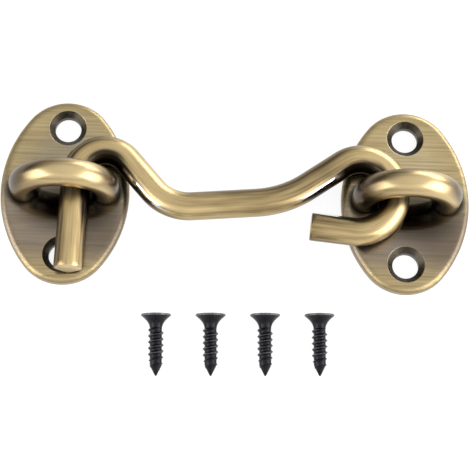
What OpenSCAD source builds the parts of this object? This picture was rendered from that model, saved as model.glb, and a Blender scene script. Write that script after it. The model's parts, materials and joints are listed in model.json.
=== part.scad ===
// Hook and eye latch: a round-rod hook that turns on one plate's eye and drops through the other's.
// The latch lies flat: the backs of the plates are at z = 0, and +Z is out of the mounting surface.
// The origin is the centre of the pivot plate's back. +X runs along the latch, away from the catch.

/* [Plates] */
// Length of each oval plate, across the latch
plate_len = 40; // [36:0.5:60]
// Width of each oval plate, along the latch
plate_w = 27; // [26:0.5:34]
// Radius of the round ends of the oval
plate_end_r = 10; // [6:0.5:12]
// Thickness of the plates
plate_t = 2.5; // [2.2:0.1:5]
// Radius that softens the front edge of the plates
plate_edge_r = 1; // [0.4:0.1:1.6]

/* [Screw holes] */
// Distance between the two screw holes of a plate
hole_pitch = 28; // [24:0.5:30]
// Bore of the screw holes
hole_d = 5.5; // [3.6:0.1:5.8]
// Width of the countersink at the front of the plate
csk_d = 7.9; // [6.6:0.1:8.6]

/* [Eyes] */
// Thickness of the rod that the eyes are bent from
eye_rod_d = 5.8; // [4:0.1:6.4]
// Distance between the two legs of an eye, centre to centre
eye_span = 17.2; // [16.4:0.1:20]
// Straight part of each leg, from the plate up to the arch
eye_leg = 2.8; // [2.6:0.1:8]
// Thickness of the tenons that go through the plate
tenon_d = 4.2; // [2.5:0.1:4.6]
// Width of the riveted ends of the tenons, at the back of the plate
peen_d = 5.4; // [4.8:0.1:6]
// Depth of the riveted ends
peen_h = 0.8; // [0.4:0.1:1.2]

/* [Hook] */
// Thickness of the rod that the hook is bent from
hook_rod_d = 5.9; // [4:0.1:6.2]
// Bend radius of the loop's outer half, at the middle of the rod
loop_r = 8.25; // [7.6:0.05:12]
// Bend radius of the loop's upper half
loop_top_r = 7; // [6.8:0.05:9]
// Angle round the loop at which its two radii meet
loop_join_angle = 15.6; // [5:0.1:30]
// Straight part between the two radii
loop_flat = 0.5; // [0.2:0.1:2]
// Straight tail from the loop to the cut end
tail_len = 8.8; // [3:0.1:11]
// Slope of the tail
tail_angle = 5.4; // [0:0.1:12]
// Straight part that comes down from the loop
arm_len = 8.8; // [4:0.1:30]
// Slope of the part that comes down from the loop
arm_angle = 35.4; // [25:0.1:42]
// Radius of the bend at the foot of that part
heel_r = 22; // [8:0.1:30]
// Straight middle of the hook
middle_len = 13.4; // [4:0.1:80]
// Slope of the middle
middle_angle = 5.2; // [0:0.1:10]
// Radius of the bend where the front rises
toe_r = 9.8; // [6:0.1:24]
// Straight rise to the front bend
rise_len = 8.4; // [3:0.1:16]
// Slope of the rise
rise_angle = 49.2; // [40:0.1:60]
// Radius of the front bend, which hangs over the catch eye's leg
bend_r = 6.1; // [6:0.1:9]
// Straight shank from the front bend to the tip
shank_len = 20.3; // [14:0.1:26]
// Lean of the shank away from the eye's leg
shank_angle = 1.8; // [0:0.1:4]
// Chamfer round the rod's two cut ends
end_chamfer = 0.35; // [0.1:0.05:0.8]

/* [Screws] */
// Length of the screws, with the head
screw_len = 12.7; // [10:0.1:18]
// Width of the screw heads
screw_head_d = 6.2; // [5.6:0.1:7.4]
// Thickness of the heads' straight rim
screw_rim_h = 0.35; // [0.2:0.05:0.8]
// Width over the thread
thread_d = 3.3; // [2.8:0.1:3.6]
// Width of the thread's core
core_d = 2.5; // [1.6:0.1:2.7]
// Distance between the thread's ridges
thread_pitch = 1.25; // [0.9:0.05:1.8]
// Width of a ridge at the core
ridge_w = 0.8; // [0.4:0.05:0.9]
// Plain neck under the head
neck_len = 0.2; // [0.1:0.1:1.5]
// Length of the pointed tip
tip_len = 2.3; // [1.5:0.1:3.5]
// Width of the blunted point
tip_d = 0.3; // [0.2:0.05:0.8]
// Length of the cross recess over its two wings
recess_w = 3.6; // [2.6:0.1:4.2]
// Width of the wings of the cross recess
recess_slot = 0.85; // [0.5:0.05:1.2]
// Depth of the cross recess
recess_h = 1.5; // [0.8:0.1:1.8]
// Distance between the loose screws, which lie in a row
screw_row_pitch = 11.2; // [8:0.1:14]
// How far the row lies from the middle of the latch, along it
screw_row_x = 1; // [-4:0.5:6]
// How far the row lies from the plates' ends, to the screws' heads
screw_row_gap = 6; // [2:0.5:20]
// Turn of the row from the latch's length
screw_row_angle = 1.6; // [-10:0.1:10]

/* [Clearances] */
// Room between the pivot eye's leg and the inside of the loop
loop_clear = 0.3; // [0.2:0.05:1]
// Room between the hook's rod and the front of the plates
plate_clear = 0.2; // [0.1:0.05:0.6]
// Room between the shank and the catch eye's leg
shank_clear = 0.55; // [0.4:0.05:1]
// How far the front bend hangs above the catch eye's leg
bend_clear = 2.2; // [0.8:0.05:3]
// How far the riveted ends stay below the back of the plates
peen_clear = 0.1; // [0.05:0.05:0.3]

/* [Hidden] */
$fn = 64;
overcut = 1;
// Round surfaces that run into each other differ by the first and lap by the second, to cross cleanly
blend_step = 0.05;
blend_lap = 0.3;

brass_plate = "#8f7a52";
brass_rod = "#b3925a";
black_steel = "#26272b";

hook_r = hook_rod_d / 2;
eye_r = eye_rod_d / 2;

// The oval is four tangent arcs: two ends, and two flatter sides whose centres lie across the plate
side_r = (pow(plate_w / 2, 2) + pow(plate_len / 2 - plate_end_r, 2) - pow(plate_end_r, 2))
    / (plate_w - 2 * plate_end_r);
end_centre = plate_len / 2 - plate_end_r;
side_centre = side_r - plate_w / 2;
side_angle = atan2(end_centre, side_centre);

// A right-angled countersink for flat heads
csk_h = (csk_d - hole_d) / 2;

// The loop goes round the pivot eye's leg nearest the catch, pulled up close to it
pivot_leg_x = -eye_span / 2;
loop_x = pivot_leg_x + eye_r + loop_clear + hook_r - loop_r;
hook_z = plate_t + plate_clear + hook_r;
loop_join = [
    loop_x + loop_r * cos(loop_join_angle),
    loop_r * sin(loop_join_angle),
    90 + loop_join_angle
];

// The hook's bending table: straight length, bend radius, turn to the left
front_bends = [
    [loop_flat, loop_top_r, 90 + arm_angle - loop_join_angle],
    [arm_len, heel_r, middle_angle - arm_angle],
    [middle_len, toe_r, -middle_angle - rise_angle],
    [rise_len, bend_r, 90 + rise_angle - shank_angle],
    [shank_len - end_chamfer, 0, 0]
];
tail_bends = [
    [0, loop_r, -90 - loop_join_angle - tail_angle],
    [tail_len - end_chamfer, 0, 0]
];

// Where a bent rod has got to, as [x, y, heading]
function after_run(pose, run) = [
    pose[0] + run * cos(pose[2]),
    pose[1] + run * sin(pose[2]),
    pose[2]
];
function after_turn(pose, rad, turn) = [
    pose[0] + sign(turn) * rad * (sin(pose[2] + turn) - sin(pose[2])),
    pose[1] + sign(turn) * rad * (cos(pose[2]) - cos(pose[2] + turn)),
    pose[2] + turn
];
function after_bends(pose, bends, count) = count == 0
    ? pose
    : let (before = after_bends(pose, bends, count - 1), bend = bends[count - 1])
        after_turn(after_run(before, bend[0]), bend[1], bend[2]);

// The catch plate is set where the hook drops through its eye
shank_top = after_bends(loop_join, front_bends, 4);
bend_top_y = shank_top[1] + bend_r * (1 - sin(shank_angle));
catch_y = bend_top_y - hook_r - bend_clear - eye_r;
shank_x = shank_top[0] - (shank_top[1] - catch_y) * tan(shank_angle);
catch_x = shank_x + hook_r + shank_clear + eye_r - eye_span / 2;

// A loose screw lies on its head's rim and on the last full ridge of its thread
head_r = screw_head_d / 2;
head_cone_h = head_r - core_d / 2;
thread_top = screw_rim_h + head_cone_h + neck_len;
ridges = floor((screw_len - tip_len - thread_top) / thread_pitch);
last_ridge = thread_top + (ridges - 0.5) * thread_pitch;
screw_lean = atan2(head_r - thread_d / 2, last_ridge - screw_rim_h);
screw_z = head_r * cos(screw_lean) + screw_rim_h * sin(screw_lean);
screw_y = -plate_len / 2 - screw_row_gap;
screw_count = 4;

// The recess keeps its slope above the head, where it is cut clear of it
recess_top_w = recess_w + (recess_w - recess_slot) * overcut / recess_h;

// Half section of a plate, square inside and softened at the front edge
module edge_section(width) {
    square([width, plate_t - plate_edge_r]);
    square([width - plate_edge_r, plate_t]);
    translate([width - plate_edge_r, plate_t - plate_edge_r]) circle(plate_edge_r);
}

// Two flat-sided sectors that lap in the middle, and a disc at each end
module oval() {
    lap_angle = asin(blend_lap / side_r);
    inner_r = max(side_centre - plate_edge_r, 0);
    for (turn = [0, 180]) rotate(turn) {
        translate([-side_centre, 0, 0])
            rotate_extrude(angle = 2 * (side_angle + lap_angle), start = -side_angle - lap_angle)
            translate([inner_r, 0]) edge_section(side_r - inner_r);
        translate([0, end_centre, 0]) rotate_extrude() edge_section(plate_end_r - blend_step);
    }
}

module screw_hole() {
    translate([0, 0, -overcut]) cylinder(d = hole_d, h = plate_t + 2 * overcut);
    translate([0, 0, plate_t - csk_h]) cylinder(d1 = hole_d, d2 = csk_d, h = csk_h);
    translate([0, 0, plate_t]) cylinder(d = csk_d, h = overcut);
}

// The tenon's hole, opened out at the back for the riveted end
module tenon_hole() {
    translate([0, 0, -overcut]) cylinder(d = tenon_d, h = plate_t + 2 * overcut);
    translate([0, 0, peen_clear]) cylinder(d1 = peen_d, d2 = tenon_d, h = peen_h);
    translate([0, 0, -overcut]) cylinder(d = peen_d, h = overcut + peen_clear);
}

module plate() {
    color(brass_plate) difference() {
        oval();
        for (side = [-1, 1]) {
            translate([0, side * hole_pitch / 2, 0]) screw_hole();
            translate([side * eye_span / 2, 0, 0]) tenon_hole();
        }
    }
}

// A staple of round rod, shouldered on the plate and riveted through it
module eye() {
    color(brass_rod) {
        for (side = [-1, 1]) translate([side * eye_span / 2, 0, 0]) {
            translate([0, 0, plate_t]) cylinder(d = eye_rod_d, h = eye_leg);
            translate([0, 0, peen_clear]) cylinder(d = tenon_d, h = plate_t - peen_clear);
            translate([0, 0, peen_clear]) cylinder(d1 = peen_d, d2 = tenon_d, h = peen_h);
        }
        translate([0, 0, plate_t + eye_leg]) rotate([90, 0, 0])
            rotate_extrude(angle = 180) translate([eye_span / 2, 0]) circle(d = eye_rod_d);
    }
}

// Straight rod along +X that laps into the bends before and after it
module straight(run, lap_after) {
    translate([-blend_lap, 0, 0]) rotate([0, 90, 0])
        cylinder(r = hook_r, h = blend_lap + run + lap_after);
}

// Bend of the rod from +X, to the left for a positive turn; bending draws the rod a little thinner
module elbow(rad, turn) {
    translate([0, sign(turn) * rad, 0])
        rotate_extrude(angle = abs(turn), start = min(turn, 0) - sign(turn) * 90)
        translate([rad, 0]) circle(r = hook_r - blend_step);
}

// Rod that follows a bending table, with a chamfered cut end
module bent_rod(bends, index = 0) {
    run = bends[index][0];
    rad = bends[index][1];
    turn = bends[index][2];
    next = after_turn([run, 0, 0], rad, turn);
    if (turn == 0) {
        straight(run, 0);
        translate([run, 0, 0]) rotate([0, 90, 0])
            cylinder(r1 = hook_r, r2 = hook_r - end_chamfer, h = end_chamfer);
    } else {
        if (run > 0) straight(run, blend_lap);
        translate([run, 0, 0]) elbow(rad, turn);
        translate([next[0], next[1], 0]) rotate(next[2]) bent_rod(bends, index + 1);
    }
}

module hook() {
    color(brass_rod) translate([loop_join[0], loop_join[1], hook_z]) {
        rotate(loop_join[2]) bent_rod(front_bends);
        rotate(loop_join[2] + 180) bent_rod(tail_bends);
    }
}

// Half section of a screw, from the top of its head down to its point
module screw_section() {
    polygon(concat(
        [[0, 0], [head_r, 0], [head_r, -screw_rim_h], [core_d / 2, -screw_rim_h - head_cone_h]],
        [for (ridge = [0 : ridges - 1], side = [-1 : 1]) [
            (side == 0 ? thread_d : core_d) / 2,
            -thread_top - (ridge + 0.5) * thread_pitch - side * ridge_w / 2
        ]],
        [[core_d / 2, tip_len - screw_len], [tip_d / 2, -screw_len], [0, -screw_len]]
    ));
}

// Cross recess whose wings run in towards the bottom
module cross_recess() {
    intersection() {
        translate([0, 0, -recess_h])
            cylinder(d1 = recess_slot, d2 = recess_top_w, h = recess_h + overcut);
        for (turn = [0, 90]) rotate(turn)
            translate([-recess_w / 2, -recess_slot / 2, -recess_h])
            cube([recess_w, recess_slot, recess_h + overcut]);
    }
}

module screw(place) {
    along_row = (place - (screw_count + 1) / 2) * screw_row_pitch;
    color(black_steel) translate([catch_x / 2 + screw_row_x, screw_y, screw_z])
        rotate(screw_row_angle) translate([along_row, 0, 0])
        rotate([screw_lean - 90, 0, 0]) difference() {
            rotate_extrude() screw_section();
            cross_recess();
        }
}

module pivot_plate() { plate(); }
module pivot_eye() { eye(); }
module catch_plate() { translate([catch_x, catch_y, 0]) plate(); }
module catch_eye() { translate([catch_x, catch_y, 0]) eye(); }

pivot_plate();
pivot_eye();
hook();
catch_plate();
catch_eye();
screw(1);  // screw_1
screw(2);  // screw_2
screw(3);  // screw_3
screw(4);  // screw_4
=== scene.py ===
import json
import math

import bmesh
import bpy
from mathutils import Matrix, Vector


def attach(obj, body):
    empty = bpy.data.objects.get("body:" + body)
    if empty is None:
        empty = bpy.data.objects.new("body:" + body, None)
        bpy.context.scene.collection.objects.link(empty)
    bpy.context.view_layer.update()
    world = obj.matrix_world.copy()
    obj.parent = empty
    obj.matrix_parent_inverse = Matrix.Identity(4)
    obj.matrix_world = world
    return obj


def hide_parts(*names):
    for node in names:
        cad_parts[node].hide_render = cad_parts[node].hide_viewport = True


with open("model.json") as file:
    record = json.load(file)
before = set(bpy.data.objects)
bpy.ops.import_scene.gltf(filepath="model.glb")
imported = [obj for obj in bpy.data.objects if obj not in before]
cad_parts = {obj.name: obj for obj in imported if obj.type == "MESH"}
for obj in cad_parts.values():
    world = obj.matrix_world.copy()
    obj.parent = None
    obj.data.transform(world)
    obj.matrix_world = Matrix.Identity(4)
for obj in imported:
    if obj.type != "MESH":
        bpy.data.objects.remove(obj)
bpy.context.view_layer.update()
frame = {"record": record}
scene = bpy.context.scene
mm = 0.001  # sizes are written in millimetres, Blender works in metres


def metres(sizes):
    return [size * mm for size in sizes]


def linearColour(hexText):
    # sRGB hex to the linear colour that the shaders expect
    values = [int(hexText[i:i + 2], 16) / 255 for i in (1, 3, 5)]
    values = [v / 12.92 if v <= 0.04045 else ((v + 0.055) / 1.055) ** 2.4 for v in values]
    return (*values, 1.0)


def addNode(tree, kind, sockets=(), **settings):
    # one node with its settings; sockets, in order or by name, take values, hex colours, nodes and sockets
    # a list stands for several links to one socket
    node = tree.nodes.new(kind)
    for name, value in settings.items():
        setattr(node, name, value)
    if isinstance(sockets, dict):
        pairs = [(node.inputs[name], value) for name, value in sockets.items()]
    else:
        pairs = zip([s for s in node.inputs if s.enabled], sockets)
    for socket, values in pairs:
        for value in values if isinstance(values, list) else [values]:
            if isinstance(value, bpy.types.Node):
                value = next(s for s in value.outputs if s.enabled)
            if isinstance(value, bpy.types.NodeSocket):
                tree.links.new(value, socket)
            elif isinstance(value, str) and value.startswith("#"):
                socket.default_value = linearColour(value)
            else:
                socket.default_value = value
    return node


def newMaterial(name):
    material = bpy.data.materials.new(name)
    material.use_nodes = True
    material.node_tree.nodes.clear()
    return material, material.node_tree


# camera: the viewpoint of the photograph
view = {
    "place": (-44.76, -123.1, 356.2),
    "tilt": (17.92, -1.38, 1.75),
    "lens": 136.42,
    "film": 36.0,
}
cameraData = bpy.data.cameras.new("viewCamera")
cameraData.sensor_width = view["film"]
cameraData.lens = view["lens"]
camera = bpy.data.objects.new("viewCamera", cameraData)
tiltX, tiltY, tiltZ = (math.radians(a) for a in view["tilt"])
camera.matrix_world = (
    Matrix.Translation(Vector(view["place"]) * mm)
    @ Matrix.Rotation(tiltX, 4, "X")
    @ Matrix.Rotation(tiltY, 4, "Y")
    @ Matrix.Rotation(tiltZ, 4, "Z")
)
scene.collection.objects.link(camera)
scene.camera = camera
scene.view_settings.view_transform = "Standard"
print("camera set")

# studio: white floor, pale room, soft boxes
studio = {
    "floorSize": 12.0,  # metres
    "floorGlow": 0.84,  # what the camera and the metal see of the floor, before its lit part
    "floorPaint": "#8c8c8c",
    "roomLow": 0.42,
    "roomHigh": 1.24,
    "roomSide": 0.35,  # how much the room brightens towards the right
    "middle": (-36, -6, 4),
    "boxes": [
        # name, place in mm, width and height in mm, watts
        ("leftBox", (-600, -220, 260), 700, 520, 4.0),
        ("rightBox", (530, -220, 260), 700, 520, 4.0),
        ("frontBox", (-36, -560, 340), 800, 400, 0.5),
        ("backBox", (330, 480, 160), 560, 300, 1.8),
    ],
}

floorMesh = bpy.data.meshes.new("floor")
half = studio["floorSize"] / 2
floorMesh.from_pydata(
    [(-half, -half, 0), (half, -half, 0), (half, half, 0), (-half, half, 0)], [], [(0, 1, 2, 3)]
)
floor = bpy.data.objects.new("floor", floorMesh)
scene.collection.objects.link(floor)
# paper sweep: a matt floor that looks white and still takes the shadow
floorPaper, tree = newMaterial("whitePaper")
rays = addNode(tree, "ShaderNodeLightPath").outputs
seen = rays["Is Camera Ray"]
for ray in ("Is Glossy Ray", "Is Transmission Ray"):
    seen = addNode(tree, "ShaderNodeMath", [seen, rays[ray]], operation="MAXIMUM")
glow = addNode(tree, "ShaderNodeMath", [seen, studio["floorGlow"]], operation="MULTIPLY")
paint = addNode(tree, "ShaderNodeBsdfDiffuse", {"Color": studio["floorPaint"]})
lit = addNode(tree, "ShaderNodeEmission", {"Strength": glow})
both = addNode(tree, "ShaderNodeAddShader", [paint, lit])
addNode(tree, "ShaderNodeOutputMaterial", {"Surface": both})
floorMesh.materials.append(floorPaper)

room = bpy.data.worlds.new("room")
scene.world = room
room.use_nodes = True
tree = room.node_tree
tree.nodes.clear()
way = addNode(tree, "ShaderNodeTexCoord").outputs["Generated"]
lean = (studio["roomSide"], 0, studio["roomHigh"] - studio["roomLow"])
rise = addNode(tree, "ShaderNodeVectorMath", [way, lean], operation="DOT_PRODUCT")
level = addNode(tree, "ShaderNodeMath", [rise, studio["roomLow"]], operation="ADD")
air = addNode(tree, "ShaderNodeBackground", {"Strength": level})
addNode(tree, "ShaderNodeOutputWorld", {"Surface": air})

for name, place, boxWidth, boxHeight, watts in studio["boxes"]:
    lamp = bpy.data.lights.new(name, "AREA")
    lamp.shape = "RECTANGLE"
    lamp.size = boxWidth * mm
    lamp.size_y = boxHeight * mm
    lamp.energy = watts
    lampObject = bpy.data.objects.new(name, lamp)
    aim = (Vector(studio["middle"]) - Vector(place)) * mm
    lampObject.location = Vector(place) * mm
    lampObject.rotation_euler = aim.to_track_quat("-Z", "Y").to_euler()
    scene.collection.objects.link(lampObject)
print("studio set")


def grain(tree, space, cell, detail):
    # noise whose cells measure this many millimetres along the three axes
    scale = tuple(1 / (c * mm) for c in cell)
    scaled = addNode(tree, "ShaderNodeMapping", {"Vector": space, "Scale": scale})
    return addNode(tree, "ShaderNodeTexNoise", {"Vector": scaled, "Scale": 1.0, "Detail": detail})


noiseSpan = (0.3, 0.7)  # nearly all values of such a noise lie between these
soft = {"interpolation_type": "SMOOTHSTEP"}


def metalSurface(tree, tone, layers, rough, relief, coat, coatRough):
    # metal with further tones laid over its first one, each as far as its own mask says
    for mask, over in layers:
        tone = addNode(tree, "ShaderNodeMix", [mask, tone, over], data_type="RGBA")
    metal = addNode(tree, "ShaderNodeBsdfPrincipled", {
        "Base Color": tone,
        "Metallic": 1.0,
        "Roughness": rough,
        "Normal": relief,
        "Coat Weight": coat,
        "Coat Roughness": coatRough,
    })
    addNode(tree, "ShaderNodeOutputMaterial", {"Surface": metal})


# Antique brass: brass blackened in a bath, rubbed back with a belt and lacquered.
# What the belt reached is pale gold, brightened further by painted light on the side facing the right front;
# painted shade browns the sides that face sideways and blackens the back, and the sheltered insides of the
# bends keep an almost black patina.
brass = {
    "aged": "#6c5b3c",
    "shaded": "#54483c",
    "oxide": "#25201a",
    # colour of the painted highlight streak
    "paintedHighlight": "#f0eadf",
    "cut": "#c9b693",
    "paintedLightFrom": (0.7, -0.3, 0.65),  # the side that painted light falls on, from the right front
    "paintedLightSide": (-0.1, 0.6),  # how far a place faces the painted light where it begins, and where it is full
    "paintedShadeSide": (0.45, 0.8),  # the same for facing sideways, where painted shade browns it
    "paintedShadeBack": (-0.55, -0.2),  # the same for facing forwards, where the painted shade of the back ends
    # sizes of the marks across and along the rod; real ones are under 0.1 mm wide, and drawn wider to show
    "streak": (0.4, 0.4, 16),
    "patch": (3, 3, 14),
    "cutReach": (2.55, 2.68),  # how far a sheared end reaches from the rod's middle
}


def rodBrass(name, look):
    # drawn rod: its streaks run along it, so they follow the straightened rod that the mesh carries
    material, tree = newMaterial(name)
    straight = addNode(tree, "ShaderNodeAttribute", attribute_name="rodSpace").outputs["Vector"]
    inward = addNode(tree, "ShaderNodeAttribute", attribute_name="bendInward").outputs["Vector"]
    shelter = addNode(tree, "ShaderNodeAttribute", attribute_name="shelter").outputs["Fac"]
    wear = addNode(tree, "ShaderNodeAttribute", attribute_name="wear").outputs["Fac"]
    normal = addNode(tree, "ShaderNodeTexCoord").outputs["Normal"]
    facing = addNode(tree, "ShaderNodeSeparateXYZ", [normal]).outputs
    along = addNode(tree, "ShaderNodeSeparateXYZ", [straight]).outputs["Z"]
    streaks = grain(tree, straight, brass["streak"], 3.0)
    patches = grain(tree, straight, brass["patch"], 2.0)

    # rubbed unevenly, and brightened by painted light where it faces the right front
    towardPaintedLight = addNode(tree, "ShaderNodeVectorMath", [normal, brass["paintedLightFrom"]], operation="DOT_PRODUCT")
    rubbingAndPaintedLight = addNode(tree, "ShaderNodeMapRange", [towardPaintedLight, *brass["paintedLightSide"]], **soft)
    uneven = addNode(tree, "ShaderNodeMapRange", [patches, *noiseSpan, -look["uneven"], look["uneven"]])
    marks = addNode(tree, "ShaderNodeMapRange", [streaks, *noiseSpan, -look["streak"], look["streak"]])
    for change in (uneven, marks, wear, -look["duller"]):
        rubbingAndPaintedLight = addNode(tree, "ShaderNodeMath", [rubbingAndPaintedLight, change], operation="ADD")
    rubbingAndPaintedLight.use_clamp = True
    # painted shade browns the places that face sideways, such as the ends of an arch
    sideways = addNode(tree, "ShaderNodeMath", [facing["X"]], operation="ABSOLUTE")
    ends = addNode(tree, "ShaderNodeMapRange", [sideways, *brass["paintedShadeSide"], 0.0, look["ends"]])
    # the insides of the bends keep a dark patina, and painted shade blackens the back
    inside = addNode(tree, "ShaderNodeMath", [shelter, uneven], operation="ADD")
    inside = addNode(tree, "ShaderNodeMapRange", [inside, *look["shelter"], 0.0, 0.97], **soft)
    paintedShadeBehind = addNode(tree, "ShaderNodeMapRange", [facing["Z"], *brass["paintedShadeBack"], 0.93, 0.0])
    dark = addNode(tree, "ShaderNodeMath", [inside, paintedShadeBehind], operation="MAXIMUM")

    # a painted highlight streak runs on from the inside of each bend to the middle
    fade = addNode(tree, "ShaderNodeVectorMath", [inward], operation="LENGTH")
    turned = addNode(tree, "ShaderNodeMath", [shelter, fade], operation="DIVIDE")
    paintedHighlight = 1.0
    for limit in (
        [turned, 0.64, 0.7, 0.0, 1.0],  # how far round the rod it lies
        [turned, 0.87, 0.91, 1.0, 0.0],
        [fade, 0.12, 0.35, 0.0, 1.0],  # how far from the bend
        [fade, 0.85, 0.98, 1.0, 0.0],
        [facing["Z"], 0.1, 0.2, 0.0, 1.0],  # only in front
        [along, *metres(look["paintedHighlightEnd"]), 1.0, 0.0],
    ):
        share = addNode(tree, "ShaderNodeMapRange", limit)
        paintedHighlight = addNode(tree, "ShaderNodeMath", [paintedHighlight, share], operation="MULTIPLY")

    # the cut ends lie inside the rod's own radius
    across = addNode(tree, "ShaderNodeVectorMath", [straight, (1, 1, 0)], operation="MULTIPLY")
    reach = addNode(tree, "ShaderNodeVectorMath", [across], operation="LENGTH")
    cut = addNode(tree, "ShaderNodeMapRange", [reach, *metres(brass["cutReach"]), 1.0, 0.0])

    smoother, rougher = look["roughness"] - 0.03, look["roughness"] + 0.05
    rough = addNode(tree, "ShaderNodeMapRange", [streaks, *noiseSpan, smoother, rougher])
    rough = addNode(tree, "ShaderNodeMath", [cut, 0.2, rough], operation="MULTIPLY_ADD")
    rough = addNode(tree, "ShaderNodeMath", [paintedHighlight, -0.22, rough], operation="MULTIPLY_ADD")
    relief = addNode(tree, "ShaderNodeBump", {"Strength": 0.1, "Distance": 0.02 * mm, "Height": streaks})
    metalSurface(tree, brass["aged"], [
        (rubbingAndPaintedLight, look["rubbed"]),
        (ends, brass["shaded"]),
        (dark, brass["oxide"]),
        (paintedHighlight, brass["paintedHighlight"]),
        (cut, brass["cut"]),
    ], rough, relief, coat=0.2, coatRough=0.1)
    return material


def newTree(name, inputs, output):
    # empty geometry node tree with named inputs and one output
    tree = bpy.data.node_groups.new(name, "GeometryNodeTree")
    for socketName, kind in inputs.items():
        tree.interface.new_socket(socketName, in_out="INPUT", socket_type="NodeSocket" + kind)
    tree.interface.new_socket(output, in_out="OUTPUT", socket_type="NodeSocketGeometry")
    return tree, addNode(tree, "NodeGroupInput").outputs


def finishTree(tree, geometry, finish, output):
    smooth = addNode(tree, "GeometryNodeSetShadeSmooth", {"Geometry": geometry})
    real = addNode(tree, "GeometryNodeRealizeInstances", {"Geometry": smooth})
    dressed = addNode(tree, "GeometryNodeSetMaterial", {"Geometry": real, "Material": finish})
    addNode(tree, "NodeGroupOutput", {output: dressed})


def sweepPath(tree, path, sides):
    # round skin along a path whose points carry the radius there
    line = addNode(tree, "GeometryNodeMeshToCurve", {"Mesh": path})
    ring = addNode(tree, "GeometryNodeCurvePrimitiveCircle", {"Resolution": sides, "Radius": 1.0})
    spot = addNode(tree, "GeometryNodeInputPosition")
    marked = addNode(tree, "GeometryNodeStoreNamedAttribute", {
        "Geometry": ring, "Name": "roundPart", "Value": spot,
    }, data_type="FLOAT_VECTOR")
    reach = addNode(tree, "GeometryNodeInputNamedAttribute", {"Name": "rodReach"}, data_type="FLOAT")
    return addNode(tree, "GeometryNodeCurveToMesh", {
        "Curve": line, "Profile Curve": marked, "Scale": reach, "Fill Caps": True,
    })


def rodTree():
    # a bent rod, with its straightened coordinates and how far each place faces the inside of a bend
    tree, given = newTree("bentRod", {"Path": "Geometry", "Sides": "Int", "Finish": "Material"}, "Rod")
    skin = sweepPath(tree, given["Path"], given["Sides"])
    roundPart, bendInward = (
        addNode(tree, "GeometryNodeInputNamedAttribute", {"Name": name}, data_type="FLOAT_VECTOR")
        for name in ("roundPart", "bendInward")
    )
    rodReach, rodLength = (
        addNode(tree, "GeometryNodeInputNamedAttribute", {"Name": name}, data_type="FLOAT")
        for name in ("rodReach", "rodLength")
    )
    across = addNode(tree, "ShaderNodeVectorMath", [roundPart, rodReach], operation="SCALE")
    parts = addNode(tree, "ShaderNodeSeparateXYZ", [across]).outputs
    straight = addNode(tree, "ShaderNodeCombineXYZ", [parts["X"], parts["Y"], rodLength])
    normal = addNode(tree, "GeometryNodeInputNormal")
    inside = addNode(tree, "ShaderNodeVectorMath", [normal, bendInward], operation="DOT_PRODUCT")
    for name, kind, value in (("rodSpace", "FLOAT_VECTOR", straight), ("shelter", "FLOAT", inside)):
        skin = addNode(tree, "GeometryNodeStoreNamedAttribute", {
            "Geometry": skin, "Name": name, "Value": value,
        }, data_type=kind)
    finishTree(tree, skin, given["Finish"], "Rod")
    return tree


def socketId(tree, name):
    for item in tree.interface.items_tree:
        if item.name == name and item.in_out == "INPUT":
            return item.identifier


def tableValue(table, place):
    # straight-line reading of a table of places and values
    for (before, low), (after, high) in zip(table, table[1:]):
        if place <= after:
            return low + (high - low) * (place - before) / (after - before)
    return table[-1][1]


def pathMesh(name, stations, inward=None, wear=((0.0, 0.0),)):
    # stations: (x, y, z, radius) in millimetres; inward: the way to the inside of the bend at each
    # wear: length along the path, how much more the belt took off there
    mesh = bpy.data.meshes.new(name)
    points = [Vector(s[:3]) * mm for s in stations]
    mesh.from_pydata(points, [(i, i + 1) for i in range(len(points) - 1)], [])
    fields = {"rodReach": "FLOAT", "rodLength": "FLOAT", "wear": "FLOAT", "bendInward": "FLOAT_VECTOR"}
    for field, kind in fields.items():
        mesh.attributes.new(field, kind, "POINT")
    reach, length, rubbed, bend = (mesh.attributes[field].data for field in fields)
    soFar = 0.0
    for i, station in enumerate(stations):
        if i > 0:
            soFar += (points[i] - points[i - 1]).length
        reach[i].value = station[3] * mm
        length[i].value = soFar
        rubbed[i].value = tableValue(wear, soFar / mm)
        bend[i].vector = inward[i] if inward else (0, 0, 0)
    return mesh


def bakeNodes(name, mesh, tree, inputs, creaseAngle=40):
    # runs a node tree on a mesh and keeps the result as a plain mesh at the origin
    source = bpy.data.objects.new(name + "Source", mesh)
    scene.collection.objects.link(source)
    modifier = source.modifiers.new("nodes", "NODES")
    modifier.node_group = tree
    for key, value in inputs.items():
        modifier[socketId(tree, key)] = value
    bpy.context.view_layer.update()
    shape = bpy.data.meshes.new_from_object(source.evaluated_get(bpy.context.evaluated_depsgraph_get()))
    shape.name = name
    source.modifiers.clear()
    bpy.data.objects.remove(source)
    work = bmesh.new()
    work.from_mesh(shape)
    if work.calc_volume(signed=True) < 0:
        bmesh.ops.reverse_faces(work, faces=work.faces)
    work.to_mesh(shape)
    work.free()
    shape.set_sharp_from_angle(angle=math.radians(creaseAngle))
    piece = bpy.data.objects.new(name, shape)
    scene.collection.objects.link(piece)
    return piece


def seatPiece(piece, body, node):
    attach(piece, body)
    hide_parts(node)


rod = rodTree()

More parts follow.
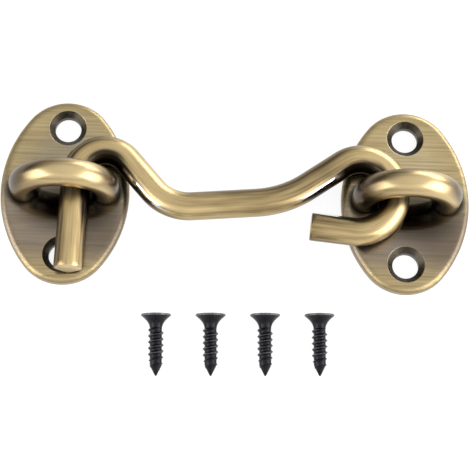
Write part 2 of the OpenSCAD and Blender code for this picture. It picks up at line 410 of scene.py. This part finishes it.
# hook: one round bar, cold bent, with two sheared ends
hookBar = {
    "radius": 2.94,
    "height": 5.65,
    "loopCentre": (-10.7, 0.0),
    "loopRadius": 8.25,
    "joinAngle": 15.6,
    # straight length, bend radius, turn to the left
    "front": [(0.5, 7.0, 109.8), (8.8, 22.0, -30.2), (13.4, 9.8, -54.4), (8.4, 6.1, 137.4), (20.3, 0, 0)],
    "tail": [(0, 8.25, -111.0), (8.8, 0, 0)],
    "endBreak": [(0.0, 2.68), (0.03, 2.8), (0.1, 2.88), (0.25, 2.93)],  # distance from the cut, radius there
    "pinch": 1.1,  # length over which the shear squeezed the back of the shank's end to a wedge
    "sides": 56,
    "stepAngle": 3,
    "stepLength": 1.0,
    "shelterReach": 10.0,  # how far the dark inside of a bend runs on along the rod
    "shelterBend": 8.0,  # bends tighter than this are fully dark inside
    # length from the loop's end, how much more the belt took off there
    "wear": [
        (0, -0.6), (9, -0.35), (18, 0.15), (33, 0.1), (43, -0.6), (55, -0.45),
        (66, -0.35), (84, 0.1), (98, -0.2), (110, 0.1), (126, 0.05),
    ],
    "look": {
        "rubbed": "#d4bb88",  # where the belt took off most, and where painted light falls
        "roughness": 0.3,
        "streak": 0.2,  # how much the streaks change the rubbing
        "uneven": 0.26,  # how much the patches do
        "duller": 0.14,  # how much less it is rubbed all over
        "shelter": (0.12, 0.6),  # how far it faces inwards where the dark begins, and where it is full
        "ends": 0.3,  # how much painted shade browns the places that face sideways
        "paintedHighlightEnd": (95, 98),  # lengths from the loop's end between which the painted highlight streak fades out
    },
}


def traceBends(start, heading, bends):
    # walks along a bending table
    x, y = start
    points = [(x, y)]
    for run, radius, turn in bends:
        count = max(1, round(run / hookBar["stepLength"]))
        for i in range(count if run > 0 else 0):
            x += run / count * math.cos(math.radians(heading))
            y += run / count * math.sin(math.radians(heading))
            points.append((x, y))
        count = max(1, round(abs(turn) / hookBar["stepAngle"]))
        side = math.copysign(1, turn)
        for i in range(count if turn else 0):
            after = heading + turn / count
            x += side * radius * (math.sin(math.radians(after)) - math.sin(math.radians(heading)))
            y += side * radius * (math.cos(math.radians(heading)) - math.cos(math.radians(after)))
            heading = after
            points.append((x, y))
    return points


def bendShelter(line):
    # the way to the inside of each left-hand bend, fading out along the straights
    count = len(line)
    points = [Vector(p) for p in line]
    lengths = [0.0]
    for a, b in zip(points, points[1:]):
        lengths.append(lengths[-1] + (b - a).length)
    lefts = []
    curls = []
    for i in range(count):
        before = points[max(0, i - 1)]
        after = points[min(count - 1, i + 1)]
        ahead = (after - before).normalized()
        lefts.append(Vector((-ahead.y, ahead.x, 0)))
        curl = 0.0
        if 0 < i < count - 1:
            stepIn = points[i] - before
            stepOut = after - points[i]
            turn = math.atan2(stepIn.cross(stepOut), stepIn.dot(stepOut))
            curl = turn / ((stepIn.length + stepOut.length) / 2) * hookBar["shelterBend"]
        curls.append(min(1.0, max(0.0, curl)))
    inward = []
    for here, left in zip(lengths, lefts):
        gaps = [(here - there) / hookBar["shelterReach"] for there in lengths]
        inward.append(left * max(curl * math.exp(-gap ** 2) for curl, gap in zip(curls, gaps)))
    return inward


def makeHook():
    join = math.radians(hookBar["joinAngle"])
    start = (
        hookBar["loopCentre"][0] + hookBar["loopRadius"] * math.cos(join),
        hookBar["loopCentre"][1] + hookBar["loopRadius"] * math.sin(join),
    )
    heading = 90 + hookBar["joinAngle"]
    front = traceBends(start, heading, hookBar["front"])
    tail = traceBends(start, heading + 180, hookBar["tail"])
    line = tail[:0:-1] + front
    inward = bendShelter(line)
    stations = [(x, y, hookBar["height"], hookBar["radius"]) for x, y in line]
    # both ends get their broken edge
    for ends in (1, -1):
        tip = Vector(stations[::ends][0][:3])
        ahead = (Vector(stations[::ends][1][:3]) - tip).normalized()
        rounding = []
        for distance, radius in hookBar["endBreak"]:
            rounding.append((*(tip + ahead * distance), radius))
        stations = (rounding + stations[::ends][1:])[::ends]
        inward = ([inward[::ends][0]] * len(rounding) + inward[::ends][1:])[::ends]
    path = pathMesh("hookPath", stations, inward, hookBar["wear"])
    finish = rodBrass("satinAntiqueBrass", hookBar["look"])
    piece = bakeNodes("hookBar", path, rod, {"Sides": hookBar["sides"], "Finish": finish})
    # the shank's end is squeezed to a wedge behind
    tip = Vector((*line[-1], hookBar["height"])) * mm
    ahead = (Vector(line[-1]) - Vector(line[-2])).normalized()
    for vertex in piece.data.vertices:
        offset = (vertex.co - tip) / mm
        back = -offset.xy.dot(ahead)
        aside = abs(offset.xy.cross(ahead))
        if back < hookBar["pinch"] and aside < 2 * hookBar["radius"] and offset.z < 0:
            wedge = aside - hookBar["radius"]
            share = 1 - max(0.0, back) / hookBar["pinch"]
            vertex.co.z = tip.z + (offset.z + (max(wedge, offset.z) - offset.z) * share) * mm
    return piece


hook = makeHook()
seatPiece(hook, "hook", "hook")
print("hook bent:", len(hook.data.polygons), "faces")

# eyes: staples of round bar, shouldered on the plates and riveted behind them
eyeStaple = {
    "span": 17.2,
    "archHeight": 5.3,
    "radius": 2.9,
    # height above the plate's back, radius there
    "foot": [
        (0.1, 2.6), (0.16, 2.69), (0.9, 2.1), (2.49, 2.1),
        (2.5, 2.1), (2.505, 2.72), (2.56, 2.86), (2.66, 2.9),
    ],
    "legSteps": 3,
    "archSteps": 60,
    "sides": 56,
    # as for the hook, but with fainter marks, stronger painted shade on the sides and no painted highlight
    # streak
    "look": {
        "rubbed": "#cbb486",
        "roughness": 0.3,
        "streak": 0.08,
        "uneven": 0.2,
        "duller": 0.08,
        "shelter": (0.2, 0.7),
        "ends": 0.85,
        "paintedHighlightEnd": (-3, 0),
    },
}


def makeEye(name, centre, finish):
    half = eyeStaple["span"] / 2
    legTop = eyeStaple["archHeight"]
    footTop = eyeStaple["foot"][-1][0]
    leg = [(-half, z, r) for z, r in eyeStaple["foot"]]
    for i in range(1, eyeStaple["legSteps"]):
        leg.append((-half, footTop + (legTop - footTop) * i / eyeStaple["legSteps"], eyeStaple["radius"]))
    arch = []
    for i in range(eyeStaple["archSteps"] + 1):
        turn = math.pi - math.pi * i / eyeStaple["archSteps"]
        arch.append((half * math.cos(turn), legTop + half * math.sin(turn), eyeStaple["radius"]))
    line = leg + arch + [(-x, z, r) for x, z, r in reversed(leg)]
    stations = [(centre[0] + x, centre[1], z, r) for x, z, r in line]
    inward = [Vector((-x, 0, min(0.0, legTop - z))).normalized() for x, z, r in line]
    path = pathMesh(name + "Path", stations, inward)
    return bakeNodes(name, path, rod, {"Sides": eyeStaple["sides"], "Finish": finish})


# each plate's screw mount is at the centre of its back
mounts = {mount["name"]: mount["pos_m"] for mount in frame["record"]["mounts"]}
plateCentres = {}
for side in ("pivot", "catch"):
    plateCentres[side] = [c / mm for c in mounts[side + "_screws"][:2]]

eyeFinish = rodBrass("polishedAntiqueBrass", eyeStaple["look"])
for side, centre in plateCentres.items():
    seatPiece(makeEye(side + "Eye", centre, eyeFinish), side, side + "_eye")
print("eyes bent")

# plates: ovals of four tangent arcs with a softened front edge
ovalPlate = {
    "length": 40.0,
    "width": 27.0,
    "endRadius": 10.0,
    "thickness": 2.5,
    "edgeWidth": 1.8,
    "edgeDrop": 1.1,
    "backBreak": 0.12,
    "holePitch": 28.0,
    # radius and height down a screw hole: rim break, countersink, bore
    "hole": [(4.0, 2.5), (3.9, 2.45), (2.75, 1.3), (2.75, 0.0)],
    # the same for the hole of an eye's leg
    "tenon": [(2.1, 2.5), (2.1, 0.9), (2.7, 0.1), (2.7, 0.0)],
    "edgeSteps": 14,
    "outlineStep": 1.5,
    "holeSides": 64,
    "upperTones": {"pivot": "#ccba90", "catch": "#a99d82"},  # the pivot plate is paler above than the catch plate
    "lowerTone": "#94877a",
    "rimTone": "#c2ad7e",
    "lineTone": "#7a6b50",
    "sunkTone": "#5a5346",
    # sizes of its marks, drawn wider than real ones so that they show
    "line": (16, 0.3, 0.3),
    "pass": (20, 0.9, 0.9),
    "cloud": (9, 5, 5),
    "spot": (0.6, 0.6, 0.6),
    # places of its tones, from the plate's middle
    "toneBand": (-7, 8),  # heights between which the lower tone turns into the upper one
    "waistHeight": -6,  # the rim has least gold here
    "waistReach": (6, 11),  # and more of it between these distances from there
    "darkerPatchPlace": ((8, -9.5), (9, 8)),  # middle, half widths
    "eyePatinaAndShadowPlace": ((1.5, -3.3), (13, 7.5)),
    "legRing": (3.0, 4.6),  # distances from a leg's middle over which its dark ring fades
}
endCentre = ovalPlate["length"] / 2 - ovalPlate["endRadius"]
bulge = ovalPlate["width"] / 2 - ovalPlate["endRadius"]
sideCentre = (endCentre ** 2 - bulge ** 2) / (2 * bulge)
sideRadius = sideCentre + ovalPlate["width"] / 2
sideAngle = math.degrees(math.atan2(endCentre, sideCentre))


def plateBrass(name, centre, upper):
    # stamped plate, belted across its width: olive above, taupe below, gold at both ends, patina under the
    # eye's arch and a painted shadow and reflection of the eye below it
    material, tree = newMaterial(name)
    where = addNode(tree, "ShaderNodeTexCoord").outputs
    shift = (-centre[0] * mm, -centre[1] * mm, 0)
    local = addNode(tree, "ShaderNodeMapping", {"Vector": where["Object"], "Location": shift})
    place = addNode(tree, "ShaderNodeSeparateXYZ", [local]).outputs
    facing = addNode(tree, "ShaderNodeSeparateXYZ", [where["Normal"]]).outputs["Z"]
    lines = grain(tree, local, ovalPlate["line"], 4.0)
    passes = grain(tree, local, ovalPlate["pass"], 1.0)
    clouds = grain(tree, local, ovalPlate["cloud"], 2.0)

    def ovalReach(middle, reach):
        # how far out a place is, in shares of an oval of these half widths
        scaled = addNode(tree, "ShaderNodeMapping", {
            "Vector": local,
            "Location": (-middle[0] / reach[0], -middle[1] / reach[1], 0),
            "Scale": (1 / (reach[0] * mm), 1 / (reach[1] * mm), 0),
        })
        return addNode(tree, "ShaderNodeVectorMath", [scaled], operation="LENGTH")

    band = metres(ovalPlate["toneBand"])
    lower = addNode(tree, "ShaderNodeMapRange", [place["Y"], *band, 1.0, 0.0], **soft)
    # gold along the rim, least at the waist
    outward = ovalReach((0, 0), (ovalPlate["width"] / 2, ovalPlate["length"] / 2))
    cloudy = addNode(tree, "ShaderNodeMapRange", [clouds, *noiseSpan, -0.15, 0.15])
    outward = addNode(tree, "ShaderNodeMath", [outward, cloudy], operation="ADD")
    rim = addNode(tree, "ShaderNodeMapRange", [outward, 0.5, 0.88, 0.0, 0.9], **soft)
    waist = ovalPlate["waistHeight"] * mm
    fromWaist = addNode(tree, "ShaderNodeMath", [place["Y"], waist], operation="SUBTRACT")
    fromWaist = addNode(tree, "ShaderNodeMath", [fromWaist], operation="ABSOLUTE")
    gold = addNode(tree, "ShaderNodeMapRange", [fromWaist, *metres(ovalPlate["waistReach"]), 0.12, 1.0])
    rim = addNode(tree, "ShaderNodeMath", [rim, gold], operation="MULTIPLY")
    # fine lines, deeper passes and a darker patch towards the lower right
    fine = addNode(tree, "ShaderNodeMapRange", [lines, 0.35, 0.7, 0.0, 0.48])
    deep = addNode(tree, "ShaderNodeMapRange", [passes, 0.45, 0.7, 0.0, 0.28])
    darkerPatch = ovalReach(*ovalPlate["darkerPatchPlace"])
    darkerPatch = addNode(tree, "ShaderNodeMapRange", [darkerPatch, 0.2, 1.1, 0.5, 0.0], **soft)
    # patina where the arch of the eye covers the plate and in a ring round each of its legs; below the arch
    # the dark is a painted shadow and reflection of the eye
    eyePatinaAndShadow = ovalReach(*ovalPlate["eyePatinaAndShadowPlace"])
    eyePatinaAndShadow = addNode(tree, "ShaderNodeMapRange", [eyePatinaAndShadow, 0.4, 1.1, 0.8, 0.0], **soft)
    fromLeg = addNode(tree, "ShaderNodeMath", [place["X"]], operation="ABSOLUTE")
    fromLeg = addNode(tree, "ShaderNodeMath", [fromLeg, eyeStaple["span"] / 2 * mm], operation="SUBTRACT")
    fromLeg = addNode(tree, "ShaderNodeCombineXYZ", [fromLeg, place["Y"]])
    fromLeg = addNode(tree, "ShaderNodeVectorMath", [fromLeg], operation="LENGTH")
    ring = addNode(tree, "ShaderNodeMapRange", [fromLeg, *metres(ovalPlate["legRing"]), 0.95, 0.0], **soft)
    patinaAndPaintedShadow = addNode(tree, "ShaderNodeMath", [eyePatinaAndShadow, ring], operation="MAXIMUM")
    # painted shade browns the softened edge towards the plate's side
    edge = addNode(tree, "ShaderNodeMapRange", [facing, 0.5, 0.99, 0.45, 0.0])

    # rougher on that edge, and smoother under the eye, where no belt has been
    rough = addNode(tree, "ShaderNodeMapRange", [lines, *noiseSpan, 0.2, 0.3])
    edgeRough = addNode(tree, "ShaderNodeMapRange", [facing, 0.8, 0.99, 0.25, 0.0])
    rough = addNode(tree, "ShaderNodeMath", [rough, edgeRough], operation="ADD")
    rough = addNode(tree, "ShaderNodeMath", [eyePatinaAndShadow, -0.2, rough], operation="MULTIPLY_ADD")
    relief = addNode(tree, "ShaderNodeBump", {"Strength": 0.15, "Distance": 0.015 * mm, "Height": lines})
    metalSurface(tree, upper, [
        (lower, ovalPlate["lowerTone"]),
        (rim, ovalPlate["rimTone"]),
        (fine, ovalPlate["lineTone"]),
        (deep, brass["aged"]),
        (darkerPatch, brass["shaded"]),
        (patinaAndPaintedShadow, brass["oxide"]),
        (edge, brass["aged"]),
    ], rough, relief, coat=0.2, coatRough=0.08)
    return material


def sunkBrass(name):
    # countersinks and bores keep the black bath, because no belt reaches them
    material, tree = newMaterial(name)
    own = addNode(tree, "ShaderNodeTexCoord").outputs["Object"]
    spots = grain(tree, own, ovalPlate["spot"], 3.0)
    rough = addNode(tree, "ShaderNodeMapRange", [spots, *noiseSpan, 0.35, 0.5])
    relief = addNode(tree, "ShaderNodeBump", {"Strength": 0.1, "Distance": 0.02 * mm, "Height": spots})
    layers = [(spots, ovalPlate["sunkTone"])]
    metalSurface(tree, brass["oxide"], layers, rough, relief, coat=0.15, coatRough=0.2)
    return material


def ovalPoint(angle, inset):
    # point of the outline whose normal has this angle, moved in by an inset
    turn = (angle + 180) % 360 - 180
    normal = Vector((math.cos(math.radians(angle)), math.sin(math.radians(angle))))
    if abs(turn) <= sideAngle or abs(turn) >= 180 - sideAngle:
        origin = Vector((-math.copysign(sideCentre, normal.x), 0))
        return origin + normal * (sideRadius - inset)
    origin = Vector((0, math.copysign(endCentre, normal.y)))
    return origin + normal * (ovalPlate["endRadius"] - inset)


def makePlate(name, centre, finishes):
    work = bmesh.new()
    sharp = []

    def ring(points, height):
        places = [(centre[0] + x, centre[1] + y, height) for x, y in points]
        return [work.verts.new(Vector(p) * mm) for p in places]

    def loopEdges(verts):
        edges = []
        for i in range(len(verts)):
            pair = (verts[i - 1], verts[i])
            edges.append(work.edges.get(pair) or work.edges.new(pair))
        return edges

    def skin(lower, upper, slot):
        for i in range(len(lower)):
            face = work.faces.new((lower[i - 1], lower[i], upper[i], upper[i - 1]))
            face.material_index = slot
            face.smooth = True

    # the rim, from the back up and over the softened edge
    thick, wide, drop = (ovalPlate[k] for k in ("thickness", "edgeWidth", "edgeDrop"))
    levels = [(ovalPlate["backBreak"], 0.0), (0.0, ovalPlate["backBreak"]), (0.0, thick - drop)]
    for i in range(1, ovalPlate["edgeSteps"] + 1):
        turn = math.pi / 2 * i / ovalPlate["edgeSteps"]
        levels.append((wide * (1 - math.cos(turn)), thick - drop * (1 - math.sin(turn))))
    count = round(360 / ovalPlate["outlineStep"])
    rims = []
    for inset, height in levels:
        rims.append(ring([ovalPoint(360 * i / count, inset) for i in range(count)], height))
    for lower, upper in zip(rims, rims[1:]):
        skin(lower, upper, 0)
    frontEdges = loopEdges(rims[-1])
    backEdges = loopEdges(rims[0])
    sharp += frontEdges + backEdges

    # holes, from the front down to the back
    holes = []
    for sign in (-1, 1):
        holes.append(((0, sign * ovalPlate["holePitch"] / 2), ovalPlate["hole"]))
        holes.append(((sign * eyeStaple["span"] / 2, 0), ovalPlate["tenon"]))
    turns = [2 * math.pi * i / ovalPlate["holeSides"] for i in range(ovalPlate["holeSides"])]
    for middle, section in holes:
        loops = []
        for radius, height in section:
            points = [(middle[0] + radius * math.cos(t), middle[1] + radius * math.sin(t)) for t in turns]
            loops.append(ring(points, height))
        for i, (upper, lower) in enumerate(zip(loops, loops[1:])):
            skin(upper, lower, 0 if i == 0 and section is ovalPlate["hole"] else 1)
            sharp += loopEdges(lower)
        frontEdges += loopEdges(loops[0])
        backEdges += loopEdges(loops[-1])
        sharp += loopEdges(loops[0])
    for edges, up in ((frontEdges, 1), (backEdges, -1)):
        filled = bmesh.ops.triangle_fill(work, use_beauty=True, edges=edges, normal=(0, 0, up))
        for item in filled["geom"]:
            if isinstance(item, bmesh.types.BMFace):
                item.smooth = True
    bmesh.ops.recalc_face_normals(work, faces=work.faces)
    for edge in sharp:
        edge.smooth = False
    mesh = bpy.data.meshes.new(name)
    work.to_mesh(mesh)
    work.free()
    for finish in finishes:
        mesh.materials.append(finish)
    piece = bpy.data.objects.new(name, mesh)
    scene.collection.objects.link(piece)
    return piece


holeFinish = sunkBrass("blackenedBrass")
for side, centre in plateCentres.items():
    frontFinish = plateBrass("brushedAntiqueBrass-" + side, centre, ovalPlate["upperTones"][side])
    plate = makePlate(side + "Plate", centre, (frontFinish, holeFinish))
    seatPiece(plate, side, side + "_plate")
print("plates stamped")

# screws: countersunk wood screws with a cross recess and a rolled right-hand thread
woodScrew = {
    # height below the head's top, radius there
    "section": [
        (0.0, 3.0), (0.04, 3.07), (0.1, 3.1), (0.3, 3.1), (0.36, 3.06), (0.7, 2.62), (1.1, 2.18), (1.5, 1.83),
        (1.9, 1.56), (2.3, 1.38), (2.7, 1.28), (3.1, 1.24),
        (10.4, 1.24), (10.6, 1.2), (12.6, 0.2), (12.7, 0.12),
    ],
    "length": 12.7,
    "tip": 2.3,
    "headRadius": 3.1,
    "rimHeight": 0.35,
    "core": 1.24,
    "crest": 1.65,  # radius over the thread
    "pitch": 1.25,
    "threadTop": 2.6,
    "threadLength": 9.7,
    "threadSink": 0.12,  # how deep the ridge's own middle lies in the core
    "threadHeight": 0.52,  # from there
    "threadWidth": 1.04,  # there
    "recessWidth": 3.6,
    "recessSlot": 0.85,
    "recessDepth": 1.5,
    "sides": 40,
    "turnSteps": 32,
    # the four lie in a row, each on its head's rim and on its thread this far down
    "restDepth": 9.275,
    "rowShift": 1.0,  # from the middle of the latch
    "rowGap": 6.0,  # from the plates' ends
    "rowPitch": 11.2,
    "rowTurn": 1.6,
    "rolls": [12, 55, 31, 78],
    "dark": "#19191b",
    "skin": "#343438",
    "worn": "#848487",
    "wornFade": 0.2,  # width over which the worn grey fades
    "speck": (0.35, 0.35, 0.35),  # phosphate crystals, drawn about ten times as coarse as they are to show
}


def blackSteel(name):
    # phosphated steel: a dull black skin, rubbed grey on the thread's crests and the head's rim
    material, tree = newMaterial(name)
    own = addNode(tree, "ShaderNodeAttribute", attribute_name="screwSpace").outputs["Vector"]
    specks = grain(tree, own, woodScrew["speck"], 4.0)
    across = addNode(tree, "ShaderNodeVectorMath", [own, (1, 1, 0)], operation="MULTIPLY")
    reach = addNode(tree, "ShaderNodeVectorMath", [across], operation="LENGTH")
    height = addNode(tree, "ShaderNodeSeparateXYZ", [own]).outputs["Z"]
    names = ("crest", "headRadius", "threadTop", "wornFade")
    crest, headRim, threadTop, fade = metres(woodScrew[name] for name in names)
    outer = addNode(tree, "ShaderNodeMapRange", [reach, crest - fade, crest])
    below = addNode(tree, "ShaderNodeMapRange", [height, fade - threadTop, 2 * fade - threadTop, 1.0, 0.0])
    crests = addNode(tree, "ShaderNodeMath", [outer, below], operation="MULTIPLY")
    rim = addNode(tree, "ShaderNodeMapRange", [reach, headRim - fade, headRim - fade / 4])
    worn = addNode(tree, "ShaderNodeMath", [crests, rim], operation="MAXIMUM")
    patchy = addNode(tree, "ShaderNodeMapRange", [specks, 0.35, 0.65, 0.3, 0.95])
    worn = addNode(tree, "ShaderNodeMath", [worn, patchy], operation="MULTIPLY")
    rough = addNode(tree, "ShaderNodeMapRange", [specks, *noiseSpan, 0.3, 0.45])
    relief = addNode(tree, "ShaderNodeBump", {"Strength": 0.12, "Distance": 0.03 * mm, "Height": specks})
    layers = [(specks, woodScrew["skin"]), (worn, woodScrew["worn"])]
    metalSurface(tree, woodScrew["dark"], layers, rough, relief, coat=0.0, coatRough=0.0)
    return material


def screwTree():
    # lathe body, helical thread that runs out on the tip, cross recess cut from the head
    tree, given = newTree("woodScrew", {
        "Path": "Geometry", "Sides": "Int", "Steps": "Int", "Core": "Float", "Pitch": "Float",
        "Thread Top": "Float", "Thread Length": "Float", "Thread Sink": "Float", "Thread Height": "Float",
        "Thread Width": "Float", "Length": "Float", "Tip": "Float", "Recess Width": "Float",
        "Recess Slot": "Float", "Recess Depth": "Float", "Roll": "Vector", "Turn": "Vector",
        "Place": "Vector", "Finish": "Material",
    }, "Screw")
    body = sweepPath(tree, given["Path"], given["Sides"])
    offGrid = 0.043  # a small turn, so that no corner of the thread or the recess lies in an edge of the body

    # the thread's line: down the core, then in along the tip's cone
    line = addNode(tree, "GeometryNodeCurvePrimitiveLine", {"Start": (0, 0, 0), "End": (0, 0, -1)})
    fine = addNode(tree, "GeometryNodeResampleCurve", {"Curve": line, "Count": given["Steps"]})
    along = addNode(tree, "GeometryNodeSplineParameter").outputs["Factor"]
    run = addNode(tree, "ShaderNodeMath", [along, given["Thread Length"]], operation="MULTIPLY")
    depth = addNode(tree, "ShaderNodeMath", [run, given["Thread Top"]], operation="ADD")
    turns = addNode(tree, "ShaderNodeMath", [run, given["Pitch"]], operation="DIVIDE")
    angle = addNode(tree, "ShaderNodeMath", [turns, -2 * math.pi, offGrid], operation="MULTIPLY_ADD")
    tipTop = addNode(tree, "ShaderNodeMath", [given["Length"], given["Tip"]], operation="SUBTRACT")
    surface = addNode(tree, "ShaderNodeMapRange", [depth, tipTop, given["Length"], given["Core"], 0.0])
    reach = addNode(tree, "ShaderNodeMath", [surface, given["Thread Sink"]], operation="SUBTRACT")
    height = addNode(tree, "ShaderNodeMath", [depth, -1.0], operation="MULTIPLY")
    start = addNode(tree, "ShaderNodeCombineXYZ", [reach, 0.0, height])
    spot = addNode(tree, "ShaderNodeVectorRotate", {"Vector": start, "Angle": angle}, rotation_type="Z_AXIS")
    helix = addNode(tree, "GeometryNodeSetPosition", {"Geometry": fine, "Position": spot})
    upright = addNode(tree, "GeometryNodeSetCurveNormal", {"Curve": helix}, mode="Z_UP")

    # its ridge: a kite on its side, lower at both ends
    sizes = [given["Thread Width"], given["Thread Height"]]
    slope = addNode(tree, "ShaderNodeMath", sizes, operation="DIVIDE")
    kite = addNode(tree, "GeometryNodeCurvePrimitiveQuadrilateral", {
        "Width": slope, "Bottom Height": 1.0, "Top Height": 1.0,
    }, mode="KITE")
    onSide = addNode(tree, "GeometryNodeTransform", {"Geometry": kite, "Rotation": (0, 0, math.pi / 2)})
    share = 1.0
    for limit in (
        [along, 0.0, 0.08, 0.05, 1.0],  # rises below the head
        [along, 0.66, 0.78, 1.0, 0.64],  # low enough to lie on the surface with the head
        [along, 0.92, 1.0, 1.0, 0.2],  # runs out at the point
    ):
        ramp = addNode(tree, "ShaderNodeMapRange", limit)
        share = addNode(tree, "ShaderNodeMath", [share, ramp], operation="MINIMUM")
    ridge = addNode(tree, "ShaderNodeMath", [given["Thread Height"], share], operation="MULTIPLY")
    thread = addNode(tree, "GeometryNodeCurveToMesh", {
        "Curve": upright, "Profile Curve": onSide, "Scale": ridge, "Fill Caps": True,
    })

    # the recess: two crossed slots whose ends follow a cone towards the bottom
    above = 1 * mm  # the cutter starts this far above the head
    slotSpare = 1.5  # and its slots are longer than the recess is wide
    coneShare = 0.62  # the cone's radius at the bottom, in slot widths
    coneSides = 48
    tall = addNode(tree, "ShaderNodeMath", [given["Recess Depth"], above], operation="ADD")
    bottom = addNode(tree, "ShaderNodeMath", [given["Recess Depth"], -1.0], operation="MULTIPLY")
    middle = addNode(tree, "ShaderNodeMath", [tall, 0.5, bottom], operation="MULTIPLY_ADD")
    slotPlace = addNode(tree, "ShaderNodeCombineXYZ", [0.0, 0.0, middle])
    slotLength = addNode(tree, "ShaderNodeMath", [given["Recess Width"], slotSpare], operation="MULTIPLY")
    slots = []
    for sizes in ([slotLength, given["Recess Slot"], tall], [given["Recess Slot"], slotLength, tall]):
        size = addNode(tree, "ShaderNodeCombineXYZ", sizes)
        cube = addNode(tree, "GeometryNodeMeshCube", {"Size": size})
        slots.append(addNode(tree, "GeometryNodeTransform", {"Geometry": cube, "Translation": slotPlace}))
    coneBottom = addNode(tree, "ShaderNodeMath", [given["Recess Slot"], coneShare], operation="MULTIPLY")
    headReach = addNode(tree, "ShaderNodeMath", [given["Recess Width"], 0.5], operation="MULTIPLY")
    flare = [tall, 0.0, given["Recess Depth"], coneBottom, headReach]
    coneTop = addNode(tree, "ShaderNodeMapRange", flare, clamp=False)
    cone = addNode(tree, "GeometryNodeMeshCone", {
        "Vertices": coneSides, "Radius Bottom": coneBottom, "Radius Top": coneTop, "Depth": tall,
    })
    conePlace = addNode(tree, "ShaderNodeCombineXYZ", [0.0, 0.0, bottom])
    cone = addNode(tree, "GeometryNodeTransform", {
        "Geometry": cone, "Translation": conePlace, "Rotation": (0, 0, offGrid),
    })
    closed = {"solver": "MANIFOLD"}
    cross = addNode(tree, "GeometryNodeMeshBoolean", [slots], operation="UNION", **closed)
    cutter = addNode(tree, "GeometryNodeMeshBoolean", [[cross, cone]], operation="INTERSECT", **closed)
    whole = addNode(tree, "GeometryNodeMeshBoolean", [[body, thread]], operation="UNION", **closed)
    whole = addNode(tree, "GeometryNodeMeshBoolean", [whole, cutter], operation="DIFFERENCE", **closed)

    own = addNode(tree, "GeometryNodeInputPosition")
    whole = addNode(tree, "GeometryNodeStoreNamedAttribute", {
        "Geometry": whole, "Name": "screwSpace", "Value": own,
    }, data_type="FLOAT_VECTOR")
    rolled = addNode(tree, "GeometryNodeTransform", {"Geometry": whole, "Rotation": given["Roll"]})
    laid = addNode(tree, "GeometryNodeTransform", {
        "Geometry": rolled, "Rotation": given["Turn"], "Translation": given["Place"],
    })
    finishTree(tree, laid, given["Finish"], "Screw")
    return tree


def makeScrew(index, nodes, finish):
    head, rim = woodScrew["headRadius"], woodScrew["rimHeight"]
    lean = math.atan2(head - woodScrew["crest"], woodScrew["restDepth"] - rim)
    rowTurn = math.radians(woodScrew["rowTurn"])
    along = (index - (len(woodScrew["rolls"]) + 1) / 2) * woodScrew["rowPitch"]
    spot = Vector((
        plateCentres["catch"][0] / 2 + woodScrew["rowShift"] + along * math.cos(rowTurn),
        -ovalPlate["length"] / 2 - woodScrew["rowGap"] + along * math.sin(rowTurn),
        head * math.cos(lean) + rim * math.sin(lean),
    ))
    stations = [(0, 0, -depth, radius) for depth, radius in woodScrew["section"]]
    turns = woodScrew["threadLength"] / woodScrew["pitch"]
    return bakeNodes("woodScrew%d" % index, pathMesh("screwPath%d" % index, stations), nodes, {
        "Sides": woodScrew["sides"],
        "Steps": round(turns * woodScrew["turnSteps"]),
        "Core": woodScrew["core"] * mm,
        "Pitch": woodScrew["pitch"] * mm,
        "Thread Top": woodScrew["threadTop"] * mm,
        "Thread Length": woodScrew["threadLength"] * mm,
        "Thread Sink": woodScrew["threadSink"] * mm,
        "Thread Height": woodScrew["threadHeight"] * mm,
        "Thread Width": woodScrew["threadWidth"] * mm,
        "Length": woodScrew["length"] * mm,
        "Tip": woodScrew["tip"] * mm,
        "Recess Width": woodScrew["recessWidth"] * mm,
        "Recess Slot": woodScrew["recessSlot"] * mm,
        "Recess Depth": woodScrew["recessDepth"] * mm,
        "Roll": (0, 0, math.radians(woodScrew["rolls"][index - 1])),
        "Turn": (lean - math.pi / 2, 0, rowTurn),
        "Place": spot * mm,
        "Finish": finish,
    }, creaseAngle=30)


screwNodes = screwTree()
screwFinish = blackSteel("blackPhosphateSteel")
for index in range(1, len(woodScrew["rolls"]) + 1):
    screw = makeScrew(index, screwNodes, screwFinish)
    node = "screw_%d" % index
    seatPiece(screw, node, node)
print("screws rolled:", len(screw.data.polygons), "faces each")
